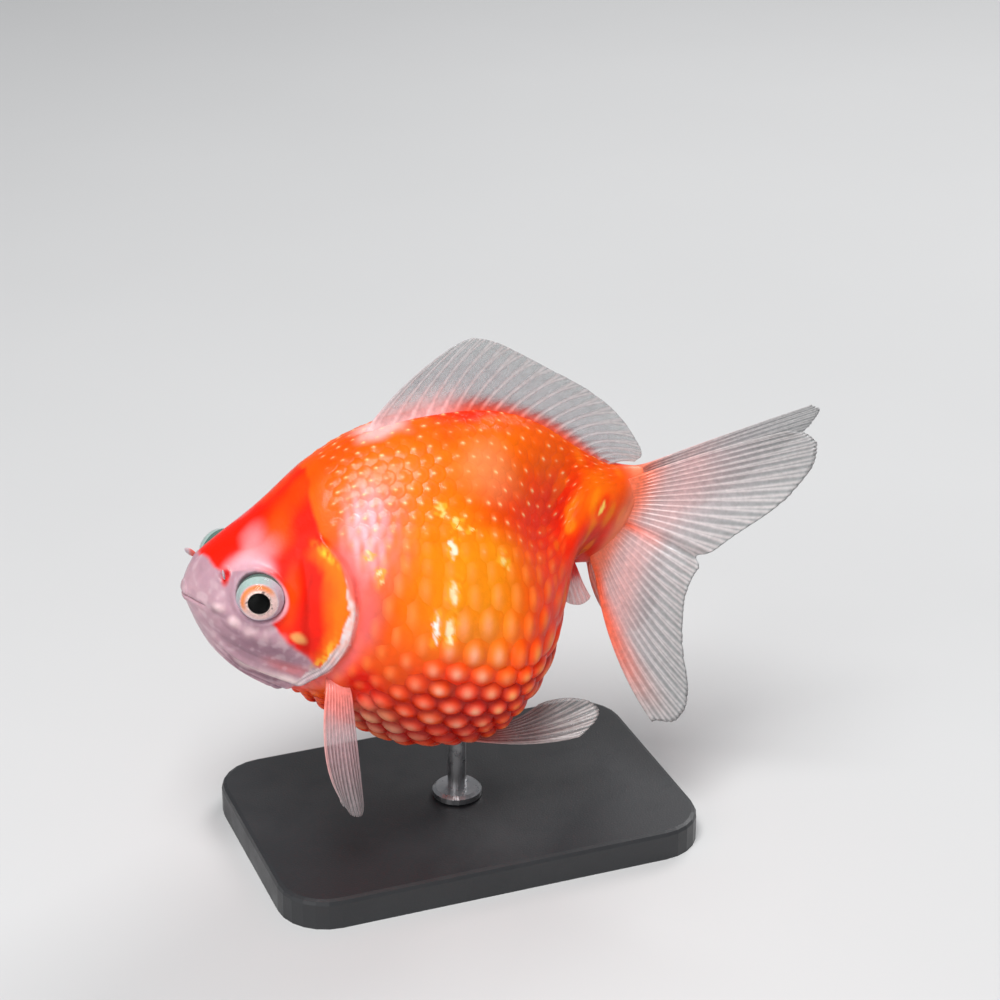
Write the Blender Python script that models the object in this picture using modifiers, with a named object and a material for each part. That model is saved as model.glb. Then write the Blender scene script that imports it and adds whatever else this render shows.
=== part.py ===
"""A pearlscale goldfish as a life-size museum model on a plain display stand.

The fish swims level with its head towards -X, its left side towards -Y and its back up (+Z).
The script works in metres; sizes of the fish are written in millimetres, in the fish's own frame,
whose origin is the tip of the snout with x running back to the tail.
"""

import math

import bmesh
import bpy
import numpy as np
from mathutils import Matrix, Vector

MM = 0.001

# Where the fish's snout is held, seen from the centre of the stand's underside.
SNOUT_X, SNOUT_Z = -44.0, 50.0

GAP = 0.3  # clearance between neighbouring pieces

# The body is a loft of ovals. Each oval leans, from a point on the back line to one on the belly line.
# Both lines are in the fish's plane of symmetry, as (x, z), at the same stations from snout to tail root.
STATIONS = (0.0, 0.06, 0.15, 0.25, 0.34, 0.44, 0.55, 0.66, 0.77, 0.82, 0.87, 0.92, 1.0)
BACK_LINE = (
    (0.3, 1.8),  # upper lip
    (2.4, 4.6),
    (8.0, 8.4),  # forehead
    (14.8, 12.9),
    (21.2, 17.9),  # nape
    (29.3, 21.5),  # start of the dorsal fin
    (38.5, 22.9),  # crest of the back
    (48.0, 22.6),
    (57.0, 19.4),
    (61.2, 16.6),
    (65.3, 13.2),
    (69.5, 10.2),
    (75.0, 8.4),  # tail root
)
BELLY_LINE = (
    (0.3, -1.6),  # lower lip
    (1.6, -5.0),  # chin
    (4.8, -10.8),
    (10.0, -15.8),  # throat
    (15.5, -19.0),
    (21.0, -23.3),  # breast
    (30.0, -29.7),
    (41.0, -31.9),  # lowest point of the belly
    (50.4, -27.0),
    (56.2, -19.6),  # rear of the belly
    (58.2, -12.2),  # vent
    (61.0, -7.6),
    (66.0, -6.8),  # tail root
)
HALF_WIDTH = (1.5, 4.2, 8.2, 10.8, 13.0, 17.2, 21.2, 22.4, 18.6, 11.6, 7.8, 6.0, 3.6)
# How far up each oval its widest point is, and how much its upper and lower halves are pinched in half way
# between that point and the back or the belly. The pinch over the rump makes the hollow between the ball of
# the belly and the tail root.
WIDEST_AT = (0.5, 0.5, 0.5, 0.47, 0.45, 0.43, 0.42, 0.4, 0.35, 0.34, 0.48, 0.58, 0.5)
BACK_PINCH = (0.0, 0.02, 0.05, 0.06, 0.06, 0.06, 0.06, 0.1, 0.26, 0.24, 0.1, 0.04, 0.02)
BELLY_PINCH = (0.0, 0.0, 0.0, 0.0, 0.0, 0.0, 0.0, 0.0, 0.0, -0.02, 0.12, 0.1, 0.02)

# Stations where a length of the body ends or starts: on the back, at the sides and on the belly. The head
# ends at the gill opening. Neighbours leave a gap of 0.3 mm or a little more between them.
HEAD_START = (0.0, 0.0, 0.0)
HEAD_END = (0.33, 0.385, 0.32)
TRUNK_START = (0.335, 0.39, 0.325)
TRUNK_END = (0.85, 0.87, 0.895)
TAIL_ROOT_START = (0.854, 0.875, 0.905)
TAIL_ROOT_END = (1.0, 1.0, 1.0)
TAIL_BULGE = 2.5  # how far the rounded end of the tail root stands out, under the tail fin
SNOUT_BULGE = 0.8

AROUND, CAP_ROWS = 36, 2  # facets round the body, and rows of them that close an end

EYE_LEFT_AT, EYE_RIGHT_AT = (9.9, -8.9, 1.2), (8.9, 8.9, 1.0)  # the right eye sits a little further forward
EYE_RADII = (3.7, 3.2, 3.7)

MOUTH_AT, MOUTH_HALF = (-0.6, 0.0, -0.1), (1.3, 1.5, 0.3)  # the gape, a flat hollow across the snout
NOSTRIL_AT, NOSTRIL_RADIUS = (0.125, 140.0), 0.7  # the left one's station and angle

# Gill cover: its centre and half size as station and angle, its thickness, and how far it stands proud.
COVER_MIDDLE = (0.335, 184.0)
COVER_HALF = (0.075, 42.0)
COVER_THICKNESS, COVER_PROUD = 1.2, 0.35

FIN_THICKNESS = 0.6

# Each fin is a fan of curved rays. root, bend and tip say where the rays start, the way that they bend
# (the middle point of a three-point curve) and where they end, from the first ray to the last.
DORSAL = {
    "root": ((28.4, 0, 19.6), (40, 0, 21.3), (48, 0, 21), (56.5, 0, 18), (63, 0, 13.5), (68.6, 0, 9.2)),
    "bend": ((34.2, 0, 28.2), (46.5, 0, 29.2), (58.5, 0, 24), (66.5, 0, 17), (71.3, 0, 10.2)),
    "tip": ((44.2, 0, 33.2), (48.6, 0, 33.9), (55, 0, 30.3), (63, 0, 25), (70.2, 0, 19), (75, 0, 11.8), (74.4, 0, 9.2)),
}
TAIL_LEFT = {
    "root": ((73.2, -1.2, 7.2), (70.0, -1.4, 0.6), (66.8, -1.2, -5.4)),
    "bend": ((83.5, -7.5, 13.2), (80, -5.5, 1.5), (71.5, -6, -8), (65.8, -7.5, -20)),
    "tip": (
        (93.5, -17, 18.6),
        (96.8, -18.5, 15.2),
        (91.9, -16, 5.7),
        (82.2, -13, -2),
        (78.2, -12, -8.5),
        (77.9, -12, -18),
        (78.9, -12.4, -28.6),
        (74.4, -12.2, -33.6),
    ),
}
TAIL_RIGHT = {
    "root": ((73.2, 1.2, 7.2), (70.0, 1.4, 0.6), (66.8, 1.2, -5.4)),
    "bend": ((88, 3, 9.6), (82, 4, 1), (73, 5, -9), (68.5, 6.5, -17)),
    "tip": (
        (109.9, 5.5, 11.9),
        (108, 5.5, 8),
        (99, 7, 1),
        (90, 8, -4.5),
        (85.5, 9, -11),
        (83.6, 9, -17.5),
        (82.2, 9, -23),
        (77.5, 9, -27.5),
    ),
}
TAIL_FORK = 0.46  # the share of a tail half's rays that are in its upper lobe
FORK_GAP = 0.012
ANAL = {
    "root": ((59.2, 3.2, -6.6), (61.2, 2.8, -6.0), (63.2, 2.5, -5.7)),
    "bend": ((58.8, 4.6, -7.0), (61.2, 4.6, -8.6), (64.0, 3.8, -8.6)),
    "tip": ((58.8, 5.4, -7.8), (60.2, 5.9, -10.0), (62.8, 5.6, -11.3), (65.1, 4.8, -10.8)),
}
PELVIC = {
    "root": ((40.2, 7.4, -29.6), (42.4, 6.2, -30.4), (44.2, 5.0, -30.8)),
    "bend": ((51.5, 10.2, -33.2), (52.5, 8.8, -31.4), (51.5, 6.5, -30.2)),
    "tip": ((60.5, 12.6, -31), (64.2, 11, -28.4), (62.8, 9, -26.6), (59, 7.4, -26.4), (56, 6.4, -27)),
}
PECTORAL_LEFT = {
    "root": ((18.6, -11.2, -12.8), (20.6, -12.4, -13.4), (22.8, -13.2, -13.8)),
    "bend": ((14, -20.5, -22.5), (18.8, -17.6, -24.5), (23, -14, -25)),
    "tip": ((18.9, -18, -31), (20.6, -17.2, -34), (22.4, -15.6, -35.6), (23.9, -14, -35.8)),
}
PECTORAL_RIGHT = {
    "root": ((18.6, 11.2, -12.8), (20.6, 12.4, -13.4), (22.8, 13.2, -13.8)),
    "bend": ((26, 20, -12.5), (27.5, 19.5, -17), (26.5, 18, -21)),
    "tip": ((35, 25.4, -16.6), (37.6, 26, -20.5), (35.5, 24.6, -24.5), (30.5, 21.6, -27)),
}

BASE_SIZE, BASE_CORNER, BASE_EDGE = (70.0, 46.0, 5.0), 8.0, 0.8
ROD_RADIUS, ROD_FOOT_RADIUS, ROD_FOOT_HEIGHT = 1.5, 4.0, 1.4
CRADLE_RADIUS, CRADLE_HEIGHT = 4.0, 2.6

COLOURS = {
    "flesh": ((1.0, 0.28, 0.04), 0.35),
    "fin": ((0.85, 0.78, 0.76), 0.4),
    "eye": ((0.9, 0.62, 0.45), 0.1),
    "base": ((0.03, 0.03, 0.035), 0.45),
    "steel": ((0.6, 0.6, 0.62), 0.3),
}


def curve_through(knots, values, at):
    """Natural cubic curve through the values at the knots, read at one place or many."""
    knots = np.asarray(knots, float)
    values = np.asarray(values, float)
    steps = np.diff(knots)
    count = len(knots)
    system = np.eye(count)
    wanted = np.zeros_like(values)
    for i in range(1, count - 1):
        system[i, i - 1 : i + 2] = steps[i - 1], 2 * (steps[i - 1] + steps[i]), steps[i]
        wanted[i] = 6 * ((values[i + 1] - values[i]) / steps[i] - (values[i] - values[i - 1]) / steps[i - 1])
    bends = np.linalg.solve(system, wanted)
    at = np.asarray(at, float)
    i = np.clip(np.searchsorted(knots, at) - 1, 0, count - 2)
    step = steps[i]
    a, b = (knots[i + 1] - at) / step, (at - knots[i]) / step
    if values.ndim > 1:
        a, b, step = a[..., None], b[..., None], step[..., None]
    cubic = (a**3 - a) * bends[i] + (b**3 - b) * bends[i + 1]
    return a * values[i] + b * values[i + 1] + cubic * step**2 / 6


def on_body(station, degrees, depth=1.0):
    """A point of the body. The angle runs from +Y (0) over the back (90) to the left side (180) and the
    belly (270); depth is 1 on the surface and 0 on the middle line of the ovals."""
    back = curve_through(STATIONS, BACK_LINE, station)
    belly = curve_through(STATIONS, BELLY_LINE, station)
    middle = belly + (back - belly) * curve_through(STATIONS, WIDEST_AT, station)
    angle = math.radians(degrees)
    rise, side = math.sin(angle), math.cos(angle)
    pinch = curve_through(STATIONS, BACK_PINCH if rise > 0 else BELLY_PINCH, station)
    reach = depth * (1 - pinch * math.sin(2 * angle) ** 2)
    x, z = middle + ((back if rise > 0 else belly) - middle) * reach * abs(rise)
    return np.array((x, reach * side * curve_through(STATIONS, HALF_WIDTH, station), z))


def station_at(stops, degrees):
    """The station of a stop at an angle round the body, from its stations on the back, side and belly."""
    back, side, belly = stops
    upright = back if 0 < degrees < 180 else belly
    return upright + (side - upright) * math.cos(math.radians(degrees)) ** 2


def to_world(point):
    """From the fish's own frame in millimetres to the part's frame in metres."""
    x, y, z = point
    return Vector((x + SNOUT_X, y, z + SNOUT_Z)) * MM


def material(name):
    """The plain material of one kind of piece, made once."""
    made = bpy.data.materials.get(name)
    if made:
        return made
    made = bpy.data.materials.new(name)
    made.use_nodes = True
    colour, roughness = COLOURS[name]
    shader = made.node_tree.nodes["Principled BSDF"]
    shader.inputs["Base Color"].default_value = (*colour, 1)
    shader.inputs["Roughness"].default_value = roughness
    shader.inputs["Metallic"].default_value = 1.0 if name == "steel" else 0.0
    return made


def add_object(name, mesh_builder, kind=None, smooth_angle=40):
    """Turns a bmesh into a named object, in the fish's collection or, with no kind, among the cutters."""
    mesh = bpy.data.meshes.new(name)
    bmesh.ops.recalc_face_normals(mesh_builder, faces=mesh_builder.faces)
    mesh_builder.to_mesh(mesh)
    mesh_builder.free()
    made = bpy.data.objects.new(name, mesh)
    if kind:
        mesh.materials.append(material(kind))
        mesh.shade_smooth()
        mesh.set_sharp_from_angle(angle=math.radians(smooth_angle))
        PARTS.objects.link(made)
    else:
        made.hide_render = True
        made.display_type = "WIRE"
        CUTTERS.objects.link(made)
    return made


def cut(piece, *cutters):
    """Takes each cutter out of the piece."""
    for cutter in cutters:
        boolean = piece.modifiers.new("cut_" + cutter.name, "BOOLEAN")
        boolean.operation = "DIFFERENCE"
        boolean.solver = "EXACT"
        boolean.object = cutter


def body_length(name, front, back, rows, kind=None, bulges=(0.0, 0.0), grow=0.0):
    """A closed length of the body between two stops. It starts as a UV sphere, whose first and last
    CAP_ROWS rows close the ends; a bulge rounds an end outwards."""
    sphere = bmesh.new()
    bmesh.ops.create_uvsphere(sphere, u_segments=AROUND, v_segments=rows, radius=1)
    for vertex in sphere.verts:
        row = round(rows * math.acos(max(-1.0, min(1.0, -vertex.co.z))) / math.pi)
        degrees = math.degrees(math.atan2(vertex.co.y, vertex.co.x)) % 360
        depth = min(1.0, row / CAP_ROWS, (rows - row) / CAP_ROWS)
        start, end = (stop[1] + (station_at(stop, degrees) - stop[1]) * depth**2 for stop in (front, back))
        along = min(1.0, max(0.0, (row - CAP_ROWS) / (rows - 2 * CAP_ROWS)))
        point = on_body(start + (end - start) * along, degrees, math.sin(depth * math.pi / 2))
        outwards = -bulges[0] if row < rows / 2 else bulges[1]
        point[0] += outwards * math.cos(depth * math.pi / 2)
        vertex.co = to_world(point)
    bmesh.ops.recalc_face_normals(sphere, faces=sphere.faces)
    sphere.normal_update()
    for vertex, normal in [(vertex, vertex.normal.copy()) for vertex in sphere.verts]:
        vertex.co += normal * grow * MM
    return add_object(name, sphere, kind)


def ball(name, centre, radii, kind=None):
    """A ball with a radius for each axis. Its poles are on the Y axis, as an eye's are."""
    sphere = bmesh.new()
    bmesh.ops.create_uvsphere(sphere, u_segments=16, v_segments=10, radius=1)
    poles_sideways = Matrix.Rotation(math.pi / 2, 4, "X")
    stretch = Matrix.Diagonal((*(radius * MM for radius in radii), 1))
    bmesh.ops.transform(sphere, matrix=stretch @ poles_sideways, verts=sphere.verts)
    bmesh.ops.translate(sphere, vec=to_world(centre), verts=sphere.verts)
    return add_object(name, sphere, kind)


def mirrored(point, side):
    """A point given for the left side, or its mirror image for the right side (side 1)."""
    x, y, z = point
    return x, abs(y) * side, z


def gill_cover(name, side, kind=None):
    """A rounded plate over the gill opening, made from a grid that lies on the body and is then thickened.
    As a cutter it is larger all round and reaches out of the body."""
    grow = 0.0 if kind else GAP
    plate = bmesh.new()
    bmesh.ops.create_grid(plate, x_segments=8, y_segments=8, size=1)
    station, degrees = COVER_MIDDLE
    mean_radius = 15.0
    half_station = COVER_HALF[0] + grow / 70.0
    half_degrees = COVER_HALF[1] + math.degrees(grow / mean_radius)
    for vertex in plate.verts:
        along, up = vertex.co.x, vertex.co.y
        disc_along = along * math.sqrt(1 - up * up / 2)
        disc_up = up * math.sqrt(1 - along * along / 2)
        angle = degrees - disc_up * half_degrees
        if side > 0:
            angle = 180 - angle
        vertex.co = to_world(on_body(station + disc_along * half_station, angle))
    cover = add_object(name, plate, kind)
    facing_out = cover.data.polygons[0].normal.y * side > 0
    thick = cover.modifiers.new("thickness", "SOLIDIFY")
    proud = COVER_PROUD if kind else 2.0
    depth = COVER_THICKNESS - COVER_PROUD + (0.0 if kind else GAP)
    thick.thickness = (proud + depth) * MM
    share_out = proud / (proud + depth) * 2 - 1
    thick.offset = share_out if facing_out else -share_out
    return cover


def fin(name, shape, cutters, side=0, first=0.0, last=1.0, rays=9, steps=6):
    """A fan of rays as a thickened sheet. A side of 1 or -1 sets the side that a paired fin is on, and first
    and last choose a part of the fan."""
    sheet = bmesh.new()
    bmesh.ops.create_grid(sheet, x_segments=rays, y_segments=steps, size=1)
    curves = [(np.linspace(0, 1, len(shape[key])), shape[key]) for key in ("root", "bend", "tip")]
    for vertex in sheet.verts:
        across = first + (last - first) * (vertex.co.x + 1) / 2
        out = (vertex.co.y + 1) / 2
        root, bend, tip = (curve_through(knots, points, across) for knots, points in curves)
        x, y, z = root * (1 - out) ** 2 + bend * 2 * out * (1 - out) + tip * out**2
        vertex.co = to_world((x, side * y if side else y, z))
    made = add_object(name, sheet, "fin")
    thick = made.modifiers.new("thickness", "SOLIDIFY")
    thick.thickness = FIN_THICKNESS * MM
    thick.offset = 0
    thick.use_even_offset = True
    cut(made, *cutters)
    return made


def make_body():
    """Head, gill covers, eyes, trunk and tail root, with the mouth and nostrils. Returns the cutters that
    clear the fins' roots: the grown body, and the recess of each gill cover, left then right."""
    head = body_length("head", HEAD_START, HEAD_END, 18, "flesh", (SNOUT_BULGE, 0.0))
    trunk = body_length("trunk", TRUNK_START, TRUNK_END, 19, "flesh")
    body_length("tail_root", TAIL_ROOT_START, TAIL_ROOT_END, 11, "flesh", (0.0, TAIL_BULGE))
    bulges = (SNOUT_BULGE, TAIL_BULGE)
    body_cutter = body_length("body_cutter", HEAD_START, TAIL_ROOT_END, 44, None, bulges, GAP)
    cut(head, ball("mouth", MOUTH_AT, MOUTH_HALF))
    recesses = []
    for side, word in ((-1, "left"), (1, "right")):
        eye_at = EYE_LEFT_AT if side < 0 else EYE_RIGHT_AT
        ball("eye_" + word, eye_at, EYE_RADII, "eye")
        socket_radii = [radius + GAP for radius in EYE_RADII]
        nostril = mirrored(on_body(*NOSTRIL_AT), side)
        cut(head, ball("socket_" + word, eye_at, socket_radii))
        cut(head, ball("nostril_" + word, nostril, [NOSTRIL_RADIUS] * 3))
        gill_cover("gill_cover_" + word, side, "flesh")
        recess = gill_cover("recess_" + word, side)
        cut(head, recess)
        cut(trunk, recess)
        recesses.append(recess)
    return body_cutter, recesses


def make_fins(body_cutter, recesses):
    """All the fins: one dorsal, and pairs of pectoral, pelvic, anal and tail fins."""
    body = [body_cutter]
    fin("dorsal_fin", DORSAL, body, rays=16)
    for word, shape in (("left", TAIL_LEFT), ("right", TAIL_RIGHT)):
        fin("tail_fin_upper_" + word, shape, body, last=TAIL_FORK - FORK_GAP, rays=10)
        fin("tail_fin_lower_" + word, shape, body, first=TAIL_FORK + FORK_GAP, rays=10)
    for word, side in (("left", -1), ("right", 1)):
        fin("anal_fin_" + word, ANAL, body, side, rays=6, steps=4)
        fin("pelvic_fin_" + word, PELVIC, body, side, rays=7)
    fin("pectoral_fin_left", PECTORAL_LEFT, body + recesses[:1], rays=7)
    fin("pectoral_fin_right", PECTORAL_RIGHT, body + recesses[1:], rays=7)


def turned(name, profile, kind, steps=24):
    """A turned piece on the stand's axis, from (radius, height) pairs that run down its outer side."""
    outline = bmesh.new()
    points = [outline.verts.new((radius * MM, 0, height * MM)) for radius, height in profile]
    for first, second in zip(points, points[1:]):
        outline.edges.new((first, second))
    made = add_object(name, outline, kind)
    screw = made.modifiers.new("turn", "SCREW")
    screw.steps = screw.render_steps = steps
    screw.use_merge_vertices = True
    screw.merge_threshold = 0.00001
    return made


def make_stand(body_cutter):
    """A flat base plate, a rod on a round foot, and a small cradle that fits the belly."""
    length, width, thickness = BASE_SIZE
    plate = bmesh.new()
    bmesh.ops.create_cube(plate, size=1)
    bmesh.ops.scale(plate, vec=Vector(BASE_SIZE) * MM, verts=plate.verts)
    bmesh.ops.translate(plate, vec=(0, 0, thickness / 2 * MM), verts=plate.verts)
    uprights = [edge for edge in plate.edges if abs(edge.verts[0].co.z - edge.verts[1].co.z) > 0.001]
    bmesh.ops.bevel(plate, geom=uprights, offset=BASE_CORNER * MM, segments=6, profile=0.5, affect="EDGES")
    top_edges = [edge for edge in plate.edges if all(v.co.z > thickness * 0.99 * MM for v in edge.verts)]
    bmesh.ops.bevel(plate, geom=top_edges, offset=BASE_EDGE * MM, segments=2, profile=0.5, affect="EDGES")
    add_object("stand_base", plate, "base")

    belly = SNOUT_Z + min(z for _, z in BELLY_LINE)
    cradle_low = belly - CRADLE_HEIGHT + 1.0
    foot_low = thickness + GAP
    foot_top = foot_low + ROD_FOOT_HEIGHT
    rod_top = cradle_low - GAP
    turned(
        "stand_rod",
        (
            (0, rod_top),
            (ROD_RADIUS, rod_top),
            (ROD_RADIUS, foot_top),
            (ROD_FOOT_RADIUS - 0.5, foot_top),
            (ROD_FOOT_RADIUS, foot_top - 0.5),
            (ROD_FOOT_RADIUS, foot_low),
            (0, foot_low),
        ),
        "steel",
    )
    cradle = turned(
        "stand_cradle",
        (
            (0, cradle_low + CRADLE_HEIGHT),
            (CRADLE_RADIUS, cradle_low + CRADLE_HEIGHT),
            (CRADLE_RADIUS, cradle_low + 1.2),
            (ROD_RADIUS + 0.4, cradle_low),
            (0, cradle_low),
        ),
        "steel",
    )
    cut(cradle, body_cutter)


def new_collection(name):
    made = bpy.data.collections.new(name)
    bpy.context.scene.collection.children.link(made)
    return made


for old in list(bpy.data.objects):
    bpy.data.objects.remove(old)
PARTS = new_collection("goldfish")
CUTTERS = new_collection("cutters")
grown_body, gill_recesses = make_body()
make_fins(grown_body, gill_recesses)
make_stand(grown_body)
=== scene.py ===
"""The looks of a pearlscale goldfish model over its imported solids: skin, pearl scales, fins, eyes and stand.

Shapes are worked out in millimetres in the fish's own frame: its origin is the tip of the snout, x runs back
to the tail, y to the fish's right and z up. The body is a loft of ovals, addressed by station (0 at the
snout, 1 at the tail root) and by angle round the body (90 the back, 180 the left side, 270 the belly).
"""

import math

import bmesh
import bpy
import numpy as np
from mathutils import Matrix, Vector


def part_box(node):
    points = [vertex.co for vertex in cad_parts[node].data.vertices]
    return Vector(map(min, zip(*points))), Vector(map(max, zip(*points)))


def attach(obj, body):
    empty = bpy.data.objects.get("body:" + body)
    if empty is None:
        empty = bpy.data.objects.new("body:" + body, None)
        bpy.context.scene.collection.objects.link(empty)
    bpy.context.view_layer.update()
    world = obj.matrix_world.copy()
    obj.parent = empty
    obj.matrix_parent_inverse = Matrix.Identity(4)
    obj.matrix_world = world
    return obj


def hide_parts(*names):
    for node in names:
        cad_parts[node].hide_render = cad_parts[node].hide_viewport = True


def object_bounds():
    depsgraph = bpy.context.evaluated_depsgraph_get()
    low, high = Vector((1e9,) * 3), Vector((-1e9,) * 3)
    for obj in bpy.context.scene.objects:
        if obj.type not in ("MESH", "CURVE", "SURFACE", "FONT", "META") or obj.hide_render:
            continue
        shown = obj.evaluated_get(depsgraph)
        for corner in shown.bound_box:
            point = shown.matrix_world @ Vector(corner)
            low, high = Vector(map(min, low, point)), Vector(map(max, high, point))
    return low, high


MM = 0.001

# The body, as in the solids.
BODY_LENGTH = 75.0  # from station 0 to station 1
STATIONS = (0.0, 0.06, 0.15, 0.25, 0.34, 0.44, 0.55, 0.66, 0.77, 0.82, 0.87, 0.92, 1.0)
BACK_LINE = (
    (0.3, 1.8), (2.4, 4.6), (8.0, 8.4), (14.8, 12.9), (21.2, 17.9), (29.3, 21.5), (38.5, 22.9), (48.0, 22.6),
    (57.0, 19.4), (61.2, 16.6), (65.3, 13.2), (69.5, 10.2), (75.0, 8.4),
)
BELLY_LINE = (
    (0.3, -1.6), (1.6, -5.0), (4.8, -10.8), (10.0, -15.8), (15.5, -19.0), (21.0, -23.3), (30.0, -29.7),
    (41.0, -31.9), (50.4, -27.0), (56.2, -19.6), (58.2, -12.2), (61.0, -7.6), (66.0, -6.8),
)
HALF_WIDTH = (1.5, 4.2, 8.2, 10.8, 13.0, 17.2, 21.2, 22.4, 18.6, 11.6, 7.8, 6.0, 3.6)
WIDEST_AT = (0.5, 0.5, 0.5, 0.47, 0.45, 0.43, 0.42, 0.4, 0.35, 0.34, 0.48, 0.58, 0.5)
BACK_PINCH = (0.0, 0.02, 0.05, 0.06, 0.06, 0.06, 0.06, 0.1, 0.26, 0.24, 0.1, 0.04, 0.02)
BELLY_PINCH = (0.0, 0.0, 0.0, 0.0, 0.0, 0.0, 0.0, 0.0, 0.0, -0.02, 0.12, 0.1, 0.02)
SNOUT_BULGE, TAIL_BULGE = 0.8, 2.5

EYE_LEFT_AT, EYE_RIGHT_AT, EYE_RADIUS = (9.9, -8.9, 1.2), (8.9, 8.9, 1.0), 3.6
EYE_AXIS = (-0.36, 0.93, 0.07)  # the way the right eye looks
EYE_AROUND = 96  # points round the eye
NOSTRIL_LEFT, NOSTRIL_RIGHT = (0.12, 141), (0.09, 39)  # station and angle
MOUTH_CORNER_X = 2.5
VENT_AT = (62.6, -5.6)  # x and z

# The gill opening, as station against angle, from above the gill cover to under the throat.
GILL_ANGLES = (90, 128, 141, 150, 158, 168, 180, 190, 203, 214, 226, 245, 270)
GILL_STATIONS = (0.32, 0.325, 0.337, 0.362, 0.386, 0.402, 0.405, 0.4, 0.384, 0.363, 0.338, 0.305, 0.285)

# Scales run in rows along the body; they are small on the back and large on the flank and the belly.
SCALE_START, SCALE_END = 0.36, 0.955  # stations
SCALE_LENGTH = (0.0285, 0.041)  # from one scale to the next in its row, in stations: back, belly
SCALE_SPACING = (5.4, 8.4)  # from one row to the next, in degrees: back, belly
SCALE_GRID = 15  # points along and across a scale
SKIN_COLUMNS = 280  # points round the skin

DORSAL = {
    "root": ((28.4, 0, 19.6), (40, 0, 21.3), (48, 0, 21), (56.5, 0, 18), (63, 0, 13.5), (68.6, 0, 9.2)),
    "bend": ((34.2, 0, 28.2), (46.5, 0, 29.2), (58.5, 0, 24), (66.5, 0, 17), (71.3, 0, 10.2)),
    "tip": (
        (44.2, 0, 33.2), (48.6, 0, 33.9), (55, 0, 30.3), (63, 0, 25), (70.2, 0, 19), (75, 0, 11.8),
        (74.4, 0, 9.2),
    ),
}
TAIL_LEFT = {
    "root": ((73.2, -1.2, 7.2), (70.0, -1.4, 0.6), (66.8, -1.2, -5.4)),
    "bend": ((83.5, -7.5, 13.2), (80, -5.5, 1.5), (71.5, -6, -8), (65.8, -7.5, -20)),
    "tip": (
        (93.5, -17, 18.6), (96.8, -18.5, 15.2), (91.9, -16, 5.7), (82.2, -13, -2), (78.2, -12, -8.5),
        (77.9, -12, -18), (78.9, -12.4, -28.6), (74.4, -12.2, -33.6),
    ),
}
TAIL_RIGHT = {
    "root": ((73.2, 1.2, 7.2), (70.0, 1.4, 0.6), (66.8, 1.2, -5.4)),
    "bend": ((88, 3, 9.6), (82, 4, 1), (73, 5, -9), (68.5, 6.5, -17)),
    "tip": (
        (109.9, 5.5, 11.9), (108, 5.5, 8), (99, 7, 1), (90, 8, -4.5), (85.5, 9, -11), (83.6, 9, -17.5),
        (82.2, 9, -23), (77.5, 9, -27.5),
    ),
}
TAIL_FORK = 0.46
ANAL = {
    "root": ((59.2, 3.2, -6.6), (61.2, 2.8, -6.0), (63.2, 2.5, -5.7)),
    "bend": ((58.8, 4.6, -7.0), (61.2, 4.6, -8.6), (64.0, 3.8, -8.6)),
    "tip": ((58.8, 5.4, -7.8), (60.2, 5.9, -10.0), (62.8, 5.6, -11.3), (65.1, 4.8, -10.8)),
}
PELVIC = {
    "root": ((40.2, 7.4, -29.6), (42.4, 6.2, -30.4), (44.2, 5.0, -30.8)),
    "bend": ((51.5, 10.2, -33.2), (52.5, 8.8, -31.4), (51.5, 6.5, -30.2)),
    "tip": ((60.5, 12.6, -31), (64.2, 11, -28.4), (62.8, 9, -26.6), (59, 7.4, -26.4), (56, 6.4, -27)),
}
PECTORAL_LEFT = {
    "root": ((19.1, -11.5, -12.9), (20.7, -12.4, -13.4), (22.3, -13.0, -13.7)),
    "bend": ((14, -20.5, -22.5), (18.8, -17.6, -24.5), (23, -14, -25)),
    "tip": ((18.9, -18, -31), (20.6, -17.2, -34), (22.4, -15.6, -35.6), (23.9, -14, -35.8)),
}
PECTORAL_RIGHT = {
    "root": ((19.1, 11.5, -12.9), (20.7, 12.4, -13.4), (22.3, 13.0, -13.7)),
    "bend": ((26, 20, -12.5), (27.5, 19.5, -17), (26.5, 18, -21)),
    "tip": ((35, 25.4, -16.6), (37.6, 26, -20.5), (35.5, 24.6, -24.5), (30.5, 21.6, -27)),
}

# The camera looks at a point of the fish's frame from a distance, from in front of its left side and above.
CAMERA_AIM, CAMERA_DISTANCE = (50.0, -3.8, 8.3), 427.0
CAMERA_AZIMUTH, CAMERA_ELEVATION, CAMERA_LENS = -21.0, 25.0, 100.0

# Colours, as they look on a screen.
RED = (0.97, 0.1, 0.0)
# DEEP_RED serves for painted shade under the belly and between the pearls, and for some of the fish's own red
DEEP_RED = (0.66, 0.04, 0.0)
ORANGE = (0.98, 0.33, 0.0)
GOLD = (1.0, 0.48, 0.0)
BRIGHT_GOLD = (1.0, 0.6, 0.06)
LILAC = (0.74, 0.58, 0.63)
# LILAC_SHADE serves for painted shade on the head's lumps, folds and eye groove, and for its own mottling and
# banding
LILAC_SHADE = (0.55, 0.41, 0.47)
PINK = (0.94, 0.4, 0.38)
PEARL = (0.98, 0.9, 0.88)
PEARL_PINK = (1.0, 0.68, 0.55)
PEARL_GOLD = (1.0, 0.58, 0.24)
GREY_FIN = (0.55, 0.57, 0.57)
EYE_WHITE = (0.83, 0.76, 0.81)


# ---- small tools


def linear(colour):
    """A screen colour as the light it stands for."""
    colour = np.asarray(colour, float)
    return np.where(colour <= 0.04045, colour / 12.92, ((colour + 0.055) / 1.055) ** 2.4)


def ramp(value, start, end):
    """Rises smoothly from 0 at start to 1 at end."""
    share = np.clip((value - start) / (end - start), 0, 1)
    return share * share * (3 - 2 * share)


def hump(value, middle, width):
    """A bell that is 1 at the middle."""
    return np.exp(-(((value - middle) / width) ** 2))


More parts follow.
